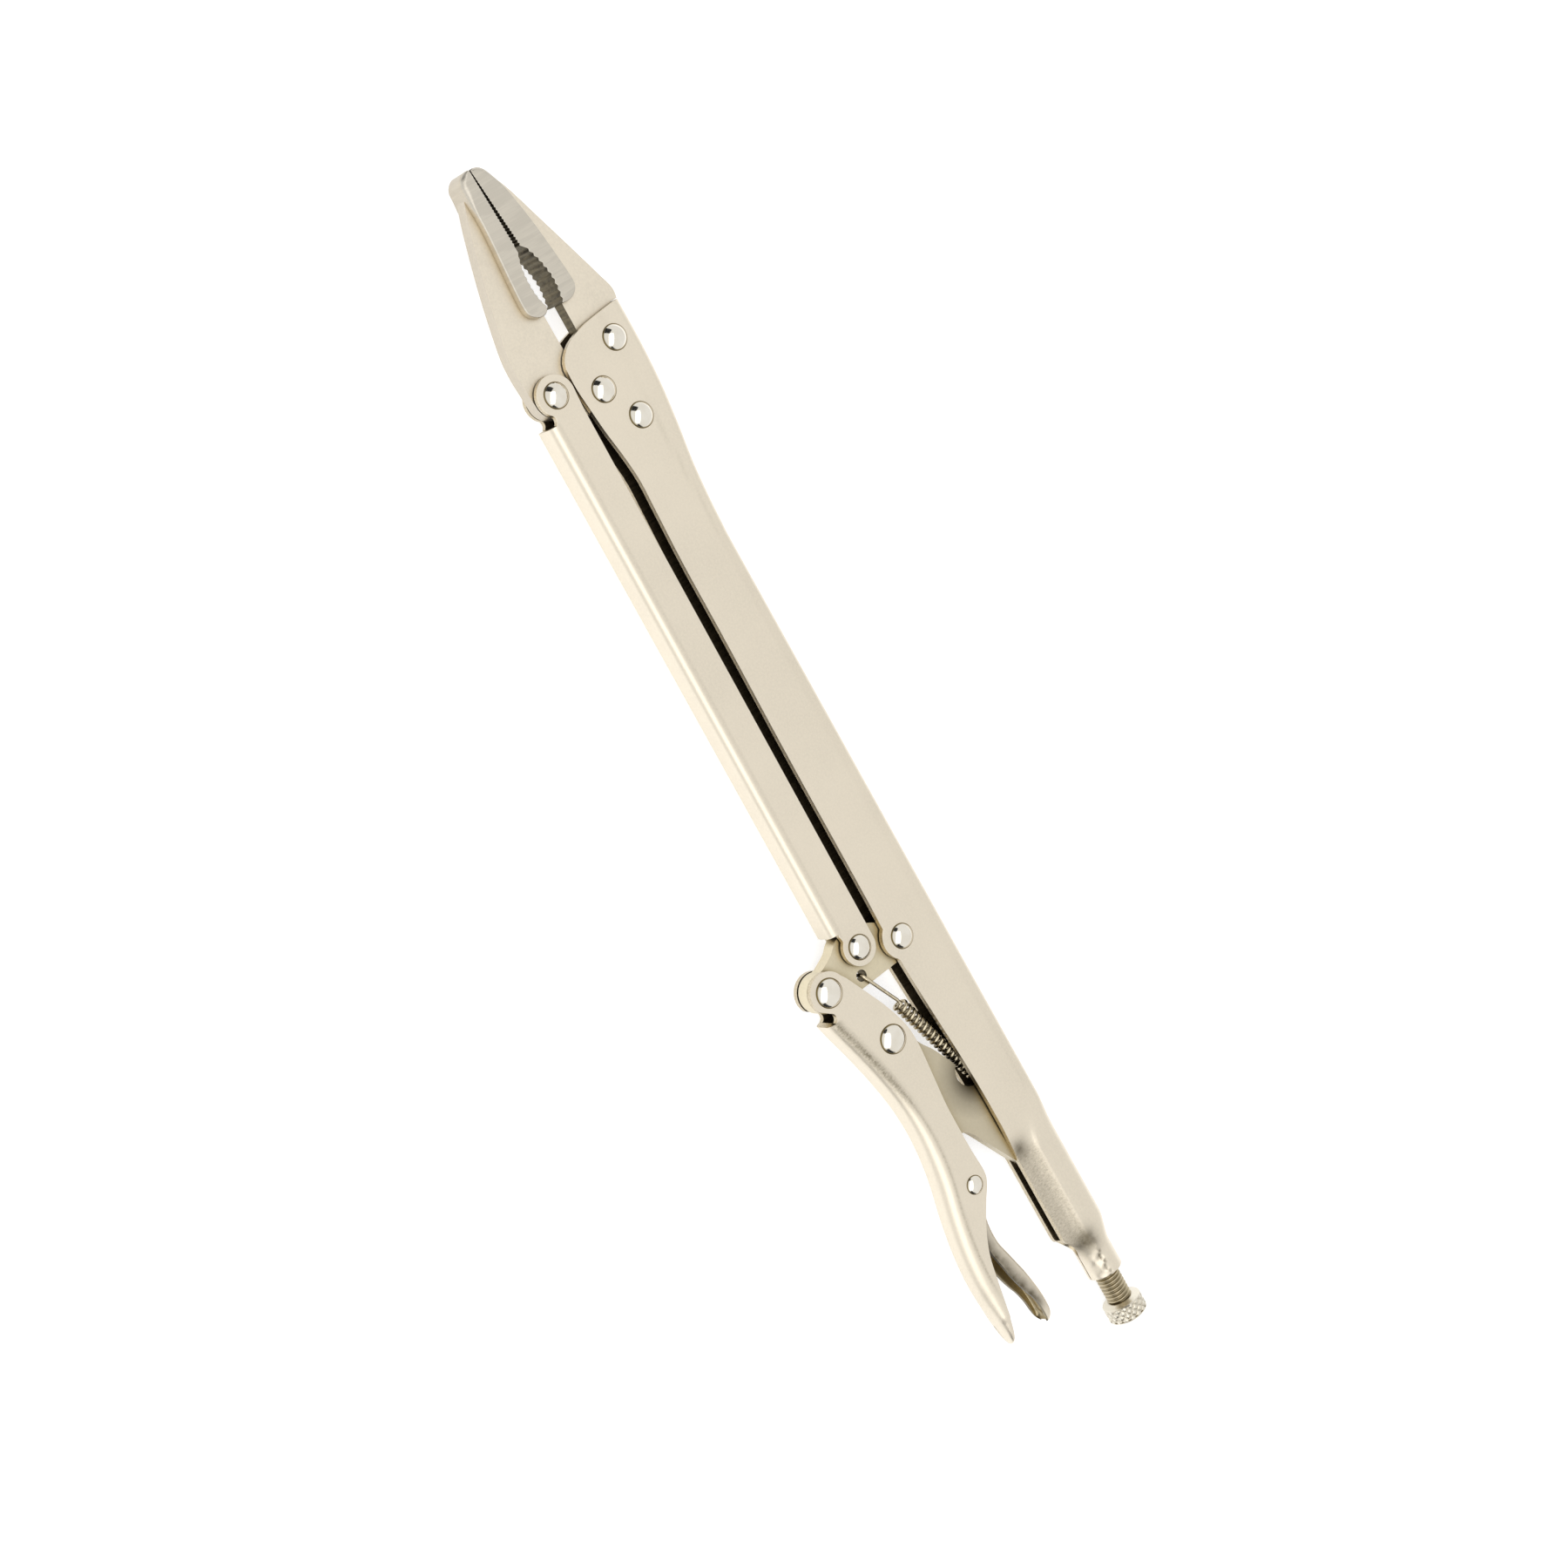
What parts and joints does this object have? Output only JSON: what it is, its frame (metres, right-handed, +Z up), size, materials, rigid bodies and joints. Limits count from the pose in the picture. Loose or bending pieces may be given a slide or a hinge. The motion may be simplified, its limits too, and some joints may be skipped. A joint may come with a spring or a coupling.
{
  "type": "long-reach locking pliers",
  "caption": "Long-reach needle-nose locking pliers with a sheet-metal channel body, link arm, over-centre toggle lever, release lever and knurled adjusting screw.",
  "frame": {"origin": "Centre of the underside of the object's box, with the pliers closed, locked and lying flat on their side: under the middle of the length and width, at the level of the rivet heads the tool rests on.", "axes": "+X from the knurled knob to the jaw tips, +Y from the body channel to the handle lever, +Z up through the thickness, away from the surface the tool lies on."},
  "size_m": [0.3808, 0.0554, 0.0134],
  "materials": {
    "satin_nickel": "warm satin nickel plate on pressed sheet steel",
    "ground_steel": "nickel plate over ground forged steel, fine grinding lines",
    "polished_rivet": "polished domed rivet heads",
    "thread_steel": "rolled thread and knurled knob, yellowish plate",
    "spring_steel": "dark drawn spring wire"
  },
  "bodies": {
    "body": {"body_channel": "satin_nickel", "fixed_jaw": "ground_steel", "jaw_rivet_front": "polished_rivet", "jaw_rivet_rear": "polished_rivet", "jaw_pivot_rivet": "polished_rivet", "rocker_pivot_rivet": "polished_rivet", "opening_spring": "spring_steel"},
    "jaw": {"moving_jaw": "ground_steel", "arm_front_rivet": "polished_rivet"},
    "rocker": {"rocker_plate": "satin_nickel", "arm_rear_rivet": "polished_rivet", "lever_pivot_rivet": "polished_rivet"},
    "arm": {"link_arm": "satin_nickel"},
    "lever": {"lever_handle": "satin_nickel", "toggle_pivot_rivet": "polished_rivet", "release_pivot_rivet": "polished_rivet"},
    "toggle": {"toggle_link": "satin_nickel"},
    "release": {"release_lever": "satin_nickel"},
    "screw": {"adjusting_screw": "thread_steel"}
  },
  "joints": [
    {"name": "rocker_pivot", "type": "hinge", "parent": "body", "child": "rocker", "pos_m": [-0.0509, -0.0071, 0.0067], "axis": [0, 0, 1], "range_deg": [0, 24], "deforming": ["opening_spring"]},
    {"name": "jaw_pivot", "type": "hinge", "parent": "body", "child": "jaw", "pos_m": [0.1234, -0.0091, 0.0067], "axis": [0, 0, 1], "range_deg": [0, 24]},
    {"name": "arm_pivot", "type": "hinge", "parent": "rocker", "child": "arm", "pos_m": [-0.0458, 0.0063, 0.0067], "axis": [0, 0, 1], "range_deg": [-24, 0]},
    {"name": "lever_pivot", "type": "hinge", "parent": "rocker", "child": "lever", "pos_m": [-0.051, 0.0216, 0.0067], "axis": [0, 0, 1], "range_deg": [-73.4, 0]},
    {"name": "toggle_pivot", "type": "hinge", "parent": "lever", "child": "toggle", "pos_m": [-0.0735, 0.0114, 0.0067], "axis": [0, 0, 1], "range_deg": [0, 68.4]},
    {"name": "release_pivot", "type": "hinge", "parent": "lever", "child": "release", "pos_m": [-0.1239, 0.0116, 0.0067], "axis": [0, 0, 1], "range_deg": [-5, 0]},
    {"name": "screw_travel", "type": "slide", "parent": "body", "child": "screw", "axis": [-1, 0, 0], "range_m": [0, 0.015]}
  ],
  "couplings": [
    {"joint": "jaw_pivot", "follows": "rocker_pivot", "ratio": 1},
    {"joint": "arm_pivot", "follows": "rocker_pivot", "ratio": -1},
    {"joint": "lever_pivot", "follows": "rocker_pivot", "ratio": -3.058},
    {"joint": "toggle_pivot", "follows": "rocker_pivot", "ratio": 2.849}
  ]
}
